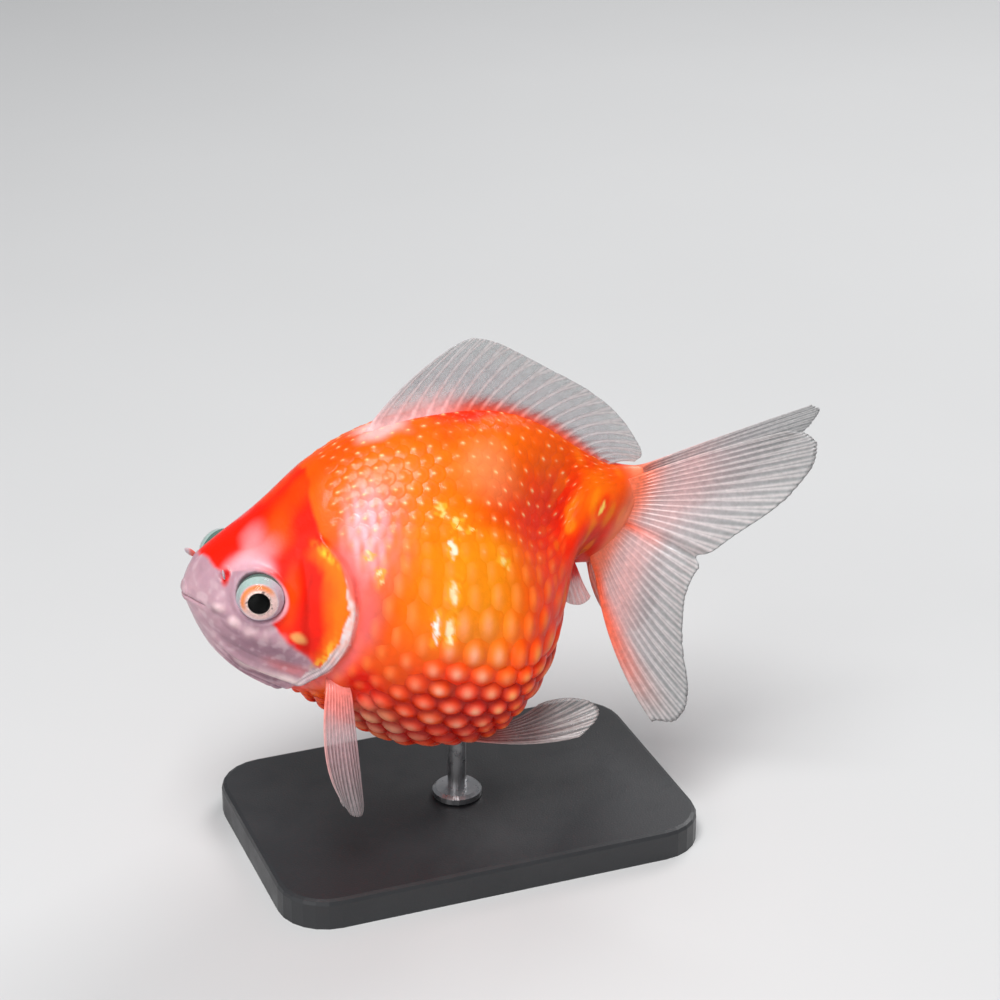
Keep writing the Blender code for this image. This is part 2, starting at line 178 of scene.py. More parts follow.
def toward(colour, other, share):
    """Colours moved by a share of the way to another one."""
    share = np.clip(share, 0, 1)[..., None]
    return colour * (1 - share) + linear(other) * share


def layered(colour, *layers):
    """Colours with layers laid over them in turn, each another colour and its share."""
    for other, share in layers:
        colour = toward(colour, other, share)
    return colour


def ripple(points, size, seed):
    """Smooth irregular waves, between about -1 and 1, that repeat over roughly the size."""
    waves = np.random.default_rng(seed)
    total = 0.0
    for _ in range(7):
        direction = waves.normal(size=3)
        direction *= 2 * math.pi / size / np.linalg.norm(direction) * waves.uniform(0.5, 1.3)
        total = total + np.sin(points @ direction + waves.uniform(0, 2 * math.pi))
    return total / 3.2


def curve_through(knots, values, at):
    """Natural cubic curve through the values at the knots, read at one place or many."""
    knots, values, at = (np.asarray(each, float) for each in (knots, values, at))
    steps = np.diff(knots)
    count = len(knots)
    system = np.eye(count)
    wanted = np.zeros_like(values)
    for i in range(1, count - 1):
        system[i, i - 1 : i + 2] = steps[i - 1], 2 * (steps[i - 1] + steps[i]), steps[i]
        wanted[i] = 6 * ((values[i + 1] - values[i]) / steps[i] - (values[i] - values[i - 1]) / steps[i - 1])
    bends = np.linalg.solve(system, wanted)
    i = np.clip(np.searchsorted(knots, at) - 1, 0, count - 2)
    step = steps[i]
    a, b = (knots[i + 1] - at) / step, (at - knots[i]) / step
    if values.ndim > 1:
        a, b, step = a[..., None], b[..., None], step[..., None]
    cubic = (a**3 - a) * bends[i] + (b**3 - b) * bends[i + 1]
    return a * values[i] + b * values[i + 1] + cubic * step**2 / 6


def unit(vectors):
    return vectors / np.maximum(np.linalg.norm(vectors, axis=-1, keepdims=True), 1e-12)


def full_turn(count):
    """Angles evenly round a circle."""
    return np.arange(count) * 2 * math.pi / count


def grid_faces(rows, columns, wrap=False, along=None):
    """The faces of a grid of points, and a map that fills the square. A wrapped grid's last column joins its
    first; along gives each row's place in the map, from 0 to 1."""
    row, column = np.meshgrid(np.arange(rows - 1), np.arange(columns - (not wrap)), indexing="ij")
    corner_rows = np.stack([row, row, row + 1, row + 1], -1).reshape(-1, 4)
    corner_columns = np.stack([column, column + 1, column + 1, column], -1).reshape(-1, 4)
    along = np.arange(rows) / (rows - 1) if along is None else along
    uvs = 0.01 + 0.98 * np.stack([along[corner_rows], corner_columns / (columns - 1 + wrap)], -1)
    return corner_rows * columns + corner_columns % columns, uvs


def add_object(name, data):
    """Puts a mesh, a light or a camera into the scene."""
    made = bpy.data.objects.new(name, data)
    bpy.context.scene.collection.objects.link(made)
    return made


def add_piece(name, points, faces, uvs, material, replaced, colours, masks, outwards):
    """One mesh piece from points in the fish's frame, with a map place for each face corner, and
    colours and masks for each point. outwards is a direction that face 0's normal agrees with."""
    points = points.reshape(-1, 3)
    corners = points[faces[0]]
    normal = np.cross(corners[1] - corners[0], corners[2] - corners[0])
    if normal @ outwards < 0:
        faces, uvs = faces[:, ::-1], uvs[:, ::-1]
    mesh = bpy.data.meshes.new(name)
    mesh.from_pydata(((points + SNOUT) * MM).tolist(), [], faces.tolist())
    layer = mesh.uv_layers.new(name="OFBake")
    layer.data.foreach_set("uv", np.ascontiguousarray(uvs, dtype=np.float32).ravel())
    rgba = np.concatenate([colours.reshape(-1, 3), np.ones((len(points), 1))], 1)
    mesh.color_attributes.new("Marking", "FLOAT_COLOR", "POINT").data.foreach_set("color", rgba.ravel())
    for mask, values in masks.items():
        mesh.attributes.new(mask, "FLOAT", "POINT").data.foreach_set("value", values.ravel())
    mesh.shade_smooth()
    mesh.materials.append(material)
    piece = add_object(name, mesh)
    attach(piece, "root")
    if replaced:
        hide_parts(*replaced)
    return piece


# ---- the body


def on_body(station, degrees, depth=1.0):
    """Points of the body; depth is 1 on the surface and 0 on the middle line of the ovals."""
    back, belly = (curve_through(STATIONS, line, station) for line in (BACK_LINE, BELLY_LINE))
    middle = belly + (back - belly) * curve_through(STATIONS, WIDEST_AT, station)[..., None]
    angle = np.radians(degrees)
    rise, side = np.sin(angle), np.cos(angle)
    upper = rise > 0
    back_pinch, belly_pinch = (curve_through(STATIONS, pinch, station) for pinch in (BACK_PINCH, BELLY_PINCH))
    pinch = np.where(upper, back_pinch, belly_pinch)
    reach = depth * (1 - pinch * np.sin(2 * angle) ** 2)
    upright = np.where(upper[..., None], back, belly) - middle
    xz = middle + upright * (reach * np.abs(rise))[..., None]
    width = reach * side * curve_through(STATIONS, HALF_WIDTH, station)
    return np.stack([xz[..., 0], width, xz[..., 1]], -1)


def body_normals(station, degrees):
    """Directions out of the body's surface."""
    step = 0.002
    low, high = np.clip(station - step, 0, 1), np.clip(station + step, 0, 1)
    along = on_body(high, degrees) - on_body(low, degrees)
    around = on_body(station, degrees + 0.5) - on_body(station, degrees - 0.5)
    return unit(np.cross(around, along))


def left_angle(degrees):
    """The angle on the left side that mirrors any angle: between 90 and 270."""
    degrees = np.asarray(degrees, float) % 360
    return np.where((degrees < 90) | (degrees > 270), (180 - degrees) % 360, degrees)


def behind_gill(station, angle):
    """How far a point lies behind the gill opening, in millimetres; less than 0 is on the head."""
    return (station - curve_through(GILL_ANGLES, GILL_STATIONS, angle)) * BODY_LENGTH


def eye_distance(points):
    """Distance from the same side's eye, seen from the side, where its outline is a little narrow."""
    left = points[..., 1] < 0
    x, z = (np.where(left, EYE_LEFT_AT[i], EYE_RIGHT_AT[i]) for i in (0, 2))
    return np.hypot((points[..., 0] - x) / 0.95, points[..., 2] - z)


def coat_depth(station, angle):
    """How deep under the solids' surface the skin lies, to leave room for the scales."""
    return scale_share(station, angle) * (0.2 + 0.6 * dome_share(station, angle))


def scale_share(station, angle):
    """How fully scales are formed: fading in behind the gills, and out over the smooth rump."""
    rump = patch(station, angle, (0.9, 170), (0.1, 46), 0.5)
    return ramp(behind_gill(station, angle), 0.5, 4) * ramp(station, 0.955, 0.88) * (1 - rump)


def dome_share(station, angle):
    """How much of its full height a scale's pearl has: tall on the rear belly, low on the back and breast."""
    return 0.08 + 0.92 * ramp(angle, 152, 190) * ramp(station + 0.0024 * (angle - 180), 0.47, 0.61)


def head_relief(station, angle, points):
    """Height of the skin's own forms above the body's plain surface."""
    side = ramp(np.abs(points[..., 1]), 1.5, 4.5)
    distance = eye_distance(points)
    eye = -3.6 * np.clip(1 - (distance / 3.5) ** 2, 0, 1) ** 0.45
    eye = eye + 0.22 * hump(distance, 3.95, 0.45) - 0.12 * hump(distance, 5.1, 0.7)

    back_of_gill = behind_gill(station, angle)
    gill_side = ramp(angle, 136, 150)
    plate = 0.55 * np.exp(np.minimum(back_of_gill, 0) / 4.0) * ramp(back_of_gill, 0.18, -0.12)
    recess = -0.55 * ramp(back_of_gill, -0.12, 0.25) * ramp(back_of_gill, 3.6, 0.6)
    gill = gill_side * (plate + recess)
    rim = -0.1 * gill_side * hump(back_of_gill, -1.1, 0.28)

    jaw = np.interp(angle, (128, 149, 172, 198, 214), (0.285, 0.296, 0.306, 0.326, 0.33))
    behind_jaw = (station - jaw) * BODY_LENGTH
    groove = -0.16 * hump(behind_jaw, 0, 0.55) * ramp(angle, 132, 146) * ramp(angle, 222, 204)
    cheek = 0.22 * hump(behind_jaw, -2.2, 1.6) * ramp(angle, 140, 158) * ramp(angle, 214, 198)
    bumps = sum(bump[-1] * hump(from_bump(station, angle, bump), 0, 1) for bump in CHEEK_BUMPS)

    drop = np.interp(station, (0.1, 0.18, 0.26, 0.34, 0.4), (1, 0, 0, 1, -8))
    folds = sum(height * hump(angle, middle + drop, width) for middle, width, height in THROAT_FOLDS)
    folds = folds * ramp(station, 0.1, 0.18) * ramp(back_of_gill, 1.5, -2.0)

    hollows = -0.9 * patch(station, angle, (0.448, 213), (0.022, 8), 0.9)  # behind the pectoral fin's root
    vent = np.hypot(points[..., 0] - VENT_AT[0], points[..., 2] - VENT_AT[1])
    hollows = hollows - 0.8 * hump(vent, 0, 0.8944)
    for nostril in (NOSTRIL_LEFT, NOSTRIL_RIGHT):
        gap = np.linalg.norm(points - on_body(*nostril), axis=-1)
        hollows = hollows - 0.55 * hump(gap, 0, 0.5) + 0.16 * hump(gap, 0.95, 0.35)
    return eye + side * (gill + rim + groove + cheek + bumps) + folds + hollows + mouth_relief(points)


def mouth_relief(points):
    """The closed mouth: a crease across the snout between two soft lips."""
    above = points[..., 2] + 0.4 + 0.2 * points[..., 0]
    near = ramp(points[..., 0], MOUTH_CORNER_X + 0.6, MOUTH_CORNER_X - 0.9)
    crease = -0.34 * hump(above, 0, 0.15) * ramp(points[..., 0], MOUTH_CORNER_X, MOUTH_CORNER_X - 0.8)
    return near * (0.1 * hump(above, 0.7, 0.5) + 0.1 * hump(above, -0.62, 0.45)) + crease


def from_bump(station, angle, bump):
    """Distance from a cheek lump's middle, as a share of its size."""
    per_station, per_degree = 60, 0.17  # millimetres, on the cheek
    return np.hypot((station - bump[0]) * per_station, (angle - bump[1]) * per_degree) / bump[2]


# Soft lumps under the eye: station, angle, size and height.
CHEEK_BUMPS = (
    (0.108, 178, 1.2, 0.62), (0.148, 187.5, 1.25, 0.55), (0.186, 192, 1.4, 0.36), (0.225, 194.5, 1.3, 0.26),
    (0.262, 193, 1.1, 0.16), (0.295, 191, 0.9, 0.26), (0.2, 206, 1.6, -0.12), (0.33, 139, 2.0, 0.12),
)
# Folds of the gill membrane that run back along the lower jaw: angle, width and height.
THROAT_FOLDS = (
    (214, 2.0, -0.14), (225, 3.2, 0.42), (230.5, 1.2, -0.34), (236, 2.6, 0.28), (241, 1.1, -0.26),
    (247, 3.0, 0.2),
)


def skin_point(station, degrees, lift=0.0):
    """A point of the finished skin, lifted by a height above it."""
    base = on_body(station, degrees)
    angle = left_angle(degrees)
    height = head_relief(station, angle, base) - coat_depth(station, angle) + lift
    return base + body_normals(station, degrees) * height[..., None]


# ---- markings


def patch(station, angle, at, size, edge=0.5):
    """A soft-edged oval patch in stations and degrees."""
    reach = np.hypot((station - at[0]) / size[0], (angle - at[1]) / size[1])
    return ramp(reach, 1 + edge, 1 - edge)


def markings(points, station, degrees):
    """The fish's colours, with painted highlights and painted shade among them, and its silvery shine at
    points of the body.
    """
    left, angle = np.cos(np.radians(degrees)) < 0, left_angle(degrees)

    def waves(size, left_seed, right_seed):
        return np.where(left, ripple(points, size, left_seed), ripple(points, size, right_seed))

    wobble, fine, grain = waves(11, 3, 8), waves(4.2, 5, 9), waves(1.1, 41, 42)
    s = station + 0.008 * wobble + 0.003 * fine
    a = angle + 3.5 * wobble + 1.2 * fine

    def oval(at_station, at_angle, half_length, half_height, edge):
        return patch(s, a, (at_station, at_angle), (half_length, half_height), edge)

    # Trunk: gold above, orange on the flank, red low down and on the rump, with deep red as painted shade
    # under the belly and behind it.
    colour = layered(
        linear(ORANGE),
        (GOLD, oval(0.6, 128, 0.24, 26, 0.6) * 0.85),
        (GOLD, oval(0.66, 162, 0.08, 22, 0.8) * 0.8),
        # partly the flank's own gold, partly a painted sheen where the mid flank catches the light
        (BRIGHT_GOLD, oval(0.59, 160, 0.1, 20, 0.8) * 0.75),
        (RED, ramp(a, 99, 92) * ramp(s, 0.48, 0.56) * 0.85),
        (RED, oval(0.8, 160, 0.11, 26, 0.6) * 0.75),
        (RED, oval(0.8, 129, 0.11, 18, 0.6) * 0.9),
        (RED, oval(0.68, 134, 0.07, 9, 0.8) * 0.6),
        (RED, ramp(s, 0.84, 0.92) * ramp(a, 168, 190) * 0.7),
        (RED, oval(0.72, 212, 0.22, 26, 0.6) * 0.9),
        # painted shade: deep red where the belly faces down
        (DEEP_RED, oval(0.7, 232, 0.16, 22, 0.7) * 0.5),
        (RED, ramp(a, 228, 248) * 0.6),
        # painted shade: deep red in the hollow behind the belly, under the rump
        (DEEP_RED, oval(0.88, 210, 0.07, 26, 0.6) * 0.6),
        ((0.8, 0.6, 0.5), oval(0.5, 230, 0.07, 11, 0.6) * 0.75),  # pale breast
        (GOLD, oval(0.885, 140, 0.045, 22, 0.7) * 0.6),
    )
    flecks = waves(3.2, 51, 52) + 0.5 * fine
    rump = oval(0.9, 165, 0.12, 60, 0.5)
    colour = layered(
        colour,
        (BRIGHT_GOLD, ramp(flecks, 0.1, 1.1) * rump * 0.5),
        (RED, ramp(flecks, -0.1, -1.0) * rump * 0.55),
        ((0.98, 0.56, 0.42), ramp(s, 0.95, 0.995) * 0.75),  # tail root
        (PEARL_PINK, oval(0.64, 118, 0.05, 9, 0.8) * 0.25),
        ((0.78, 0.6, 0.45), oval(0.46, 222, 0.05, 9, 0.7) * 0.5),
    )

    # Behind the gill: a pink band, a red hollow over the pectoral fin and a white patch.
    gill = behind_gill(s, angle)
    streaks = 0.7 + 0.3 * ripple(points * (1.8, 1.8, 0.35), 2.4, 14)
    patch_at = station + 0.003 * fine, angle + 1.5 * fine
    white_patch = patch(*patch_at, (0.417, 140), (0.034, 16), 0.7)
    colour = layered(
        colour,
        (PINK, hump(gill, 1.2, 1.5) * ramp(a, 140, 156) * 0.95),
        (RED, oval(0.45, 212, 0.035, 13, 0.5)),
        ((0.96, 0.5, 0.46), patch(*patch_at, (0.43, 142), (0.055, 20), 0.7) * 0.8 * streaks),
        ((0.95, 0.74, 0.77), white_patch * 0.9 * streaks),
        ((0.97, 0.76, 0.74), oval(0.475, 94, 0.045, 7, 0.6) * 0.9),  # before the dorsal fin
        ((1.0, 0.86, 0.42), patch(*patch_at, (0.907, 160), (0.0045, 8.0), 0.4)),  # painted glint on the rump
    )

    # Head: red on top and behind the eye, pale on the snout, cheek and throat.
    head = ramp(gill, 0.4, -0.4)
    from_eye = eye_distance(points)
    brow = np.maximum(oval(0.188, 120, 0.026, 17, 0.8) * 0.75, oval(0.178, 131, 0.05, 11, 0.8))
    over_eye = ramp(from_eye, 6.4, 4.4) * ramp(a, 152, 142) * ramp(s, 0.25, 0.215)
    snout = ramp(s, np.interp(a, (90, 110, 124, 135, 150, 165), (0.075, 0.082, 0.094, 0.11, 0.15, 0.2)), 0.0)
    front = np.interp(a, (90, 112, 124, 134, 146, 160, 184), (0.078, 0.084, 0.094, 0.112, 0.19, 0.235, 0.24))
    pale_front = ramp(s - front, 0.008, -0.008)
    cheek_edge = np.interp(s, (0.2, 0.235, 0.278, 0.337, 0.38, 0.41), (172, 184, 196, 204, 199, 196))
    pale_cheek = ramp(a - cheek_edge, -2.5, 2.5)
    face = layered(
        linear(RED),
        (ORANGE, oval(0.245, 122, 0.03, 13, 0.7) * 0.75),
        (ORANGE, oval(0.29, 104, 0.06, 12, 0.7) * 0.5),
        (ORANGE, ramp(s, 0.335, 0.36) * ramp(a, 150, 160) * 0.9),
        (ORANGE, oval(0.272, 168, 0.018, 16, 0.8) * 0.6),
        (DEEP_RED, hump((s - 0.312) * BODY_LENGTH, 0, 0.8) * ramp(a, 150, 165) * ramp(a, 206, 196) * 0.45),
        ((0.95, 0.62, 0.64), brow * 0.92),
        ((0.9, 0.71, 0.76), over_eye * 0.85),
        (LILAC, pale_front),
        (RED, oval(0.12, 142, 0.012, 10, 0.5) * 0.95),
        (LILAC, pale_cheek),
        (PEARL, snout * 0.1),
    )
    # each lump's top is painted paler, partly its own whitish pink and partly a painted highlight, and its
    # lower edge gets painted shade in lilac
    for bump in CHEEK_BUMPS[:5]:
        near = from_bump(station, angle, bump)
        face = toward(face, (0.93, 0.8, 0.81), ramp(near, 1.1, 0.2) * 1.5 * bump[-1])
        face = toward(face, LILAC_SHADE, hump(near, 1.45, 0.3) * ramp(a, bump[1], bump[1] + 5) * 0.4)
    cloud = (ripple(points, 2.3, 43) + 0.5 * grain) * np.maximum(pale_front, pale_cheek)
    from_edge = behind_gill(station, angle)
    ragged = from_edge + 0.22 * fine + 0.2 * grain
    bright = ramp(grain, -1.0, 0.3)
    width = np.interp(a, (155, 166, 185, 200, 214, 230), (0.12, 0.75, 1.25, 1.7, 2.0, 1.3))
    silver = ramp(ragged, -width - 0.25, -width + 0.15) * ramp(a, 157, 167) * ramp(a, 236, 214)
    bands = 0.5 + 0.5 * np.sin(from_edge * 9 + 1.6 * fine)
    face = layered(
        face,
        ((0.93, 0.66, 0.38), oval(0.297, 191, 0.014, 2.6, 0.5) * 0.9),  # end of the cheek
        # painted shade: darker lilac in the hollow below the cheek's lumps
        (LILAC_SHADE, oval(0.22, 208, 0.12, 8, 0.7) * 0.65),
        (PEARL, hump(a, 226, 3) * ramp(s, 0.12, 0.2) * 0.7),
        # painted shade: lilac lines along the grooves between the throat's folds
        (LILAC_SHADE, (hump(a, 231, 1.5) + hump(a, 241, 1.5)) * ramp(s, 0.12, 0.18) * 0.9),
        (PINK, oval(0.3, 216, 0.05, 5, 0.7) * 0.4),
        # painted shade: darker lilac in the groove round the eye
        (LILAC_SHADE, ramp(from_eye, 5.2, 3.8) * ramp(s, 0.24, 0.2) * 0.35),
        ((0.86, 0.72, 0.77), ramp(from_eye, 4.2, 3.6) * 0.7),  # eye's rim
        ((0.92, 0.82, 0.84), ramp(cloud, 0.1, 1.2) * 0.28),
        (LILAC_SHADE, ramp(cloud, -0.1, -1.2) * 0.14),
        (GOLD, ramp(ragged, -5.0, -1.6) * ramp(a, 140, 150) * ramp(a, 206, 196) * 0.8),
        ((1.0, 0.8, 0.2), hump(ragged, -1.2, 0.55) * hump(a, 151, 7) * bright),
        ((1.0, 0.78, 0.25), hump(ragged, -2.1, 0.6) * hump(a, 198, 8) * bright * 0.9),
        ((0.97, 0.9, 0.9), silver * (0.8 + 0.18 * grain)),
        (LILAC_SHADE, silver * ramp(a, 182, 200) * bands * 0.6),
    )
    colour = colour * (1 - head[..., None]) + face * head[..., None]

    shine = np.clip(head * silver * 0.9 + (1 - head) * white_patch * 0.15, 0, 1)
    freckle = 1 + 0.05 * fine[..., None] + 0.04 * wobble[..., None]
    return np.clip(colour * freckle, 0, 1), shine


# ---- materials


class Look:
    """A node material in the making."""

    def __init__(self, name):
        self.material = bpy.data.materials.new(name)
        self.material.use_nodes = True
        self.nodes, self.link = self.material.node_tree.nodes, self.material.node_tree.links.new
        self.shader = self.nodes["Principled BSDF"]

    def node(self, kind, **values):
        """A new node with its inputs' values."""
        made = self.nodes.new("ShaderNode" + kind)
        for key, value in values.items():
            made.inputs[key.replace("_", " ")].default_value = value
        return made

    def set(self, **values):
        """Sets the shader's own sockets."""
        for key, value in values.items():
            self.shader.inputs[key.replace("_", " ")].default_value = value

    def noise(self, scale, detail=3.0, roughness=0.55):
        """A noise texture laid over the object's own coordinates."""
        texture = self.node("TexNoise", Scale=scale, Detail=detail, Roughness=roughness)
        self.link(self.node("TexCoord").outputs["Object"], texture.inputs["Vector"])
        return texture.outputs["Fac"]

    def mapped(self, value, low, high, start=0.3, end=0.7):
        """A value between start and end as one between low and high."""
        change = self.node("MapRange", From_Min=start, From_Max=end, To_Min=low, To_Max=high)
        self.link(value, change.inputs["Value"])
        return change.outputs["Result"]

    def attribute(self, name, output="Fac"):
        reader = self.node("Attribute")
        reader.attribute_name = name
        return reader.outputs[output]

    def marked(self, scale, low, high, *detail):
        """Colours the surface with its markings, mottled by noise between two shares."""
        tint = self.node("VectorMath")
        tint.operation = "SCALE"
        self.link(self.attribute("Marking", "Color"), tint.inputs[0])
        self.link(self.mapped(self.noise(scale, *detail), low, high), tint.inputs["Scale"])
        self.link(tint.outputs["Vector"], self.shader.inputs["Base Color"])

    def toned(self, scale, dark, light, *detail):
        """Colours the surface between two tones by noise."""
        tone = self.node("ValToRGB")
        for element, colour in zip(tone.color_ramp.elements, (dark, light)):
            element.color = (*colour, 1)
        self.link(self.noise(scale, *detail), tone.inputs["Fac"])
        self.link(tone.outputs["Color"], self.shader.inputs["Base Color"])

    def rough(self, scale, low, high):
        self.link(self.mapped(self.noise(scale), low, high), self.shader.inputs["Roughness"])

    def metallic_where_shiny(self, most):
        self.link(self.mapped(self.attribute("Shine"), 0.0, most, 0.0, 1.0), self.shader.inputs["Metallic"])

    def bumped(self, scale, detail, depth):
        bump = self.node("Bump", Distance=depth, Strength=1.0)
        self.link(self.noise(scale, detail), bump.inputs["Height"])
        self.link(bump.outputs["Normal"], self.shader.inputs["Normal"])


def marked_skin(name, roughness, pore_size, pore_depth, wetness):
    """Wet living skin that carries the markings, mottled finely, with silvery places where it shines."""
    look = Look(name)
    look.marked(900, 0.95, 1.04)
    look.rough(500, roughness, roughness + 0.16)
    look.metallic_where_shiny(0.55)
    look.bumped(pore_size, 4.0, pore_depth)
    look.set(Specular_IOR_Level=0.14, Coat_Weight=wetness, Coat_Roughness=0.1)
    look.set(Subsurface_Weight=0.12, Subsurface_Radius=(1.0, 0.35, 0.2), Subsurface_Scale=0.0006)
    return look.material


def fin_material():
    """A thin wet fin: its rays are more solid than the membrane between them."""
    look = Look("fin membrane")
    look.marked(1400, 0.85, 1.12)
    solid = look.node("Math")
    solid.operation = "MULTIPLY"
    solid.use_clamp = True
    look.link(look.attribute("Solid"), solid.inputs[0])
    look.link(look.mapped(look.noise(600), 0.85, 1.1), solid.inputs[1])
    look.link(solid.outputs["Value"], look.shader.inputs["Alpha"])
    look.rough(700, 0.28, 0.45)
    look.bumped(2600, 2.0, 0.00003)
    look.set(Coat_Weight=0.35, Coat_Roughness=0.12)
    return look.material


def eye_material():
    """The eyeball: its colours are painted by rings round the eye's axis, with fine flecks in the iris."""
    look = Look("eye")
    look.marked(2600, 0.88, 1.08, 4.0, 0.7)
    look.metallic_where_shiny(0.75)
    look.rough(1800, 0.2, 0.32)
    look.bumped(2400, 2.0, 0.00002)
    look.set(Specular_IOR_Level=0.03)
    return look.material


def cornea_material():
    """A clear wet dome, which shows only what it mirrors and a faint milky edge."""
    look = Look("cornea")
    link = look.link
    look.nodes.remove(look.shader)
    clear = look.node("BsdfTransparent", Color=(0.97, 0.98, 0.98, 1))
    mirror = look.node("BsdfGlossy", Roughness=0.03)
    edge = look.node("Fresnel", IOR=1.2)
    limit = look.node("Math")
    limit.operation = "MINIMUM"
    limit.inputs[1].default_value = 0.1
    mix = look.node("MixShader")
    link(edge.outputs["Fac"], limit.inputs[0])
    link(limit.outputs["Value"], mix.inputs["Fac"])
    link(clear.outputs["BSDF"], mix.inputs[1])
    link(mirror.outputs["BSDF"], mix.inputs[2])
    link(mix.outputs["Shader"], look.nodes["Material Output"].inputs["Surface"])
    return look.material


def base_material():
    """Satin charcoal plastic with a fine moulded grain."""
    look = Look("satin charcoal")
    look.toned(60, (0.018, 0.019, 0.021), (0.032, 0.033, 0.036))
    look.rough(220, 0.36, 0.5)
    look.bumped(3200, 2.0, 0.00003)
    return look.material


def steel_material():
    """Satin steel with fine marks from turning."""
    look = Look("satin steel")
    look.set(Metallic=1.0)
    look.toned(700, (0.42, 0.42, 0.43), (0.6, 0.6, 0.61), 5.0)
    look.rough(900, 0.25, 0.4)
    look.bumped(3000, 2.0, 0.00001)
    return look.material


def floor_material():
    """Pale matt studio paper."""
    look = Look("studio paper")
    look.toned(8, (0.6, 0.6, 0.6), (0.64, 0.64, 0.64))
    look.set(Roughness=0.9)
    return look.material


# ---- skin and scales


def skin_rows():
    """Stations, depths and a shift along x for the skin's rows, from the snout's tip to under the tail."""
    head_end, head_rows, trunk_rows = 0.44, 200, 120  # the head's rows lie closer
    cap = np.linspace(0.03, 1, 15)[:-1]
    head = np.linspace(0.0, head_end, head_rows)
    trunk = np.linspace(head_end, 1.0, trunk_rows + 1)[1:]
    end = np.linspace(1, 0.004, 9)[1:]
    open_rows = len(head) + len(trunk)
    stations = np.concatenate([np.zeros(len(cap)), head, trunk, np.ones(len(end))])
    depths = np.concatenate([np.sin(cap * math.pi / 2), np.ones(open_rows), np.sin(end * math.pi / 2)])
    front, rear = -0.6 * SNOUT_BULGE * np.cos(cap * math.pi / 2), TAIL_BULGE * np.cos(end * math.pi / 2)
    return stations, depths, np.concatenate([front, np.zeros(open_rows), rear])


def make_skin(material):
    """One skin over head, gill covers, trunk and tail root."""
    stations, depths, shifts = skin_rows()
    degrees = (270 + np.degrees(full_turn(SKIN_COLUMNS))) % 360
    station, degree = np.meshgrid(stations, degrees, indexing="ij")
    depth = np.broadcast_to(depths[:, None], station.shape)
    points = skin_point(station, degree)
    closing = depth < 1
    points[closing] = on_body(station[closing], degree[closing], depth[closing])
    points[..., 0] += shifts[:, None]
    front = (station == 0) & closing
    points[front, 0] -= mouth_relief(points[front])
    points[..., 0] += 0.45 * ramp(points[..., 0], 4.5, -0.2)  # a blunt snout
    colour, shine = markings(points, station, degree)
    step = np.linalg.norm(np.diff(points, axis=0), axis=2).mean(1)
    along = np.concatenate([[0], np.cumsum(step)])
    faces, uvs = grid_faces(len(points), SKIN_COLUMNS, True, along / along[-1])
    nodes = ("head", "gill_cover_left", "gill_cover_right", "trunk", "tail_root")
    add_piece("skin", points, faces, uvs, material, nodes, colour, {"Shine": shine}, (-1, 0, 0))


def scale_places():
    """The lattice of scales down one side: station, angle, half length and half height."""
    places = []
    angle, row = 93.0, 0
    while angle < 268:
        belly = ramp(angle, 136, 166)
        length, spacing = (least + (most - least) * belly for least, most in (SCALE_LENGTH, SCALE_SPACING))
        for i in range(int((SCALE_END - SCALE_START) / length)):
            station = SCALE_START + (i + 0.5 * (row % 2)) * length
            places.append((station, angle, length * 0.72, spacing * 0.77))
        angle += spacing
        row += 1
    return places


# Painted glints, highlights painted where scales catch the light: station, angle, half length, half height and
# whiteness.
PAINTED_GLINTS = (
    (0.442, 158, 0.008, 2.4, 0.5), (0.422, 152, 0.007, 1.6, 0.4), (0.566, 147, 0.009, 2.8, 0.8),
    (0.574, 138, 0.008, 1.8, 0.2), (0.548, 133, 0.01, 1.4, 0.1), (0.655, 150, 0.01, 2.2, 0.2),
    (0.541, 171.5, 0.006, 4.6, 1.0), (0.566, 160, 0.009, 3.8, 0.6), (0.562, 171, 0.009, 4.4, 0.6),
    (0.6, 140, 0.007, 1.4, 0.3), (0.907, 160, 0.008, 3.0, 0.4),
)


